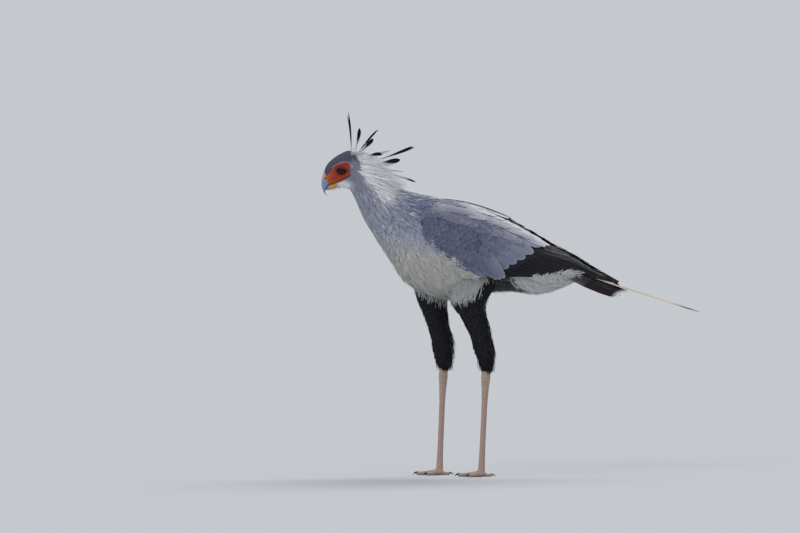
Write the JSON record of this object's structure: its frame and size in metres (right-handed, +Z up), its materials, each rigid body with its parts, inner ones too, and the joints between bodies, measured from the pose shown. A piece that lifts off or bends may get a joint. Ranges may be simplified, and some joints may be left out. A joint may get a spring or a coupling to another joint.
{
  "type": "secretary bird",
  "caption": "Life-size standing secretary bird with folded wings, spread crest, black feathered thighs, long scaled legs and tail streamers, as a still display model.",
  "frame": {"origin": "on the floor, under the middle of the bird's length and width", "axes": "+X towards the tail, -X the way the bird faces, -Y its left side, +Z up"},
  "size_m": [1.1386, 0.238, 1.0921],
  "materials": {
    "head_plumage": "soft, fine feathers",
    "neck_plumage": "soft feathers",
    "body_plumage": "soft feathers",
    "wing_plumage": "layered feathers",
    "tail_plumage": "layered feathers",
    "thigh_plumage": "shaggy feathers",
    "bill_horn": "satin horn",
    "eye": "wet gloss",
    "leg_scales": "horny scales",
    "claw_horn": "satin horn"
  },
  "bodies": {
    "root": {"head": "head_plumage", "upper_bill": "bill_horn", "lower_bill": "bill_horn", "neck": "neck_plumage", "torso": "body_plumage", "tail": "tail_plumage", "eye_left": "eye", "wing_left": "wing_plumage", "thigh_left": "thigh_plumage", "tarsus_left": "leg_scales", "foot_left": "leg_scales", "claw_left_middle": "claw_horn", "claw_left_inner": "claw_horn", "claw_left_outer": "claw_horn", "claw_left_hind": "claw_horn", "eye_right": "eye", "wing_right": "wing_plumage", "thigh_right": "thigh_plumage", "tarsus_right": "leg_scales", "foot_right": "leg_scales", "claw_right_middle": "claw_horn", "claw_right_inner": "claw_horn", "claw_right_outer": "claw_horn", "claw_right_hind": "claw_horn"}
  },
  "joints": []
}
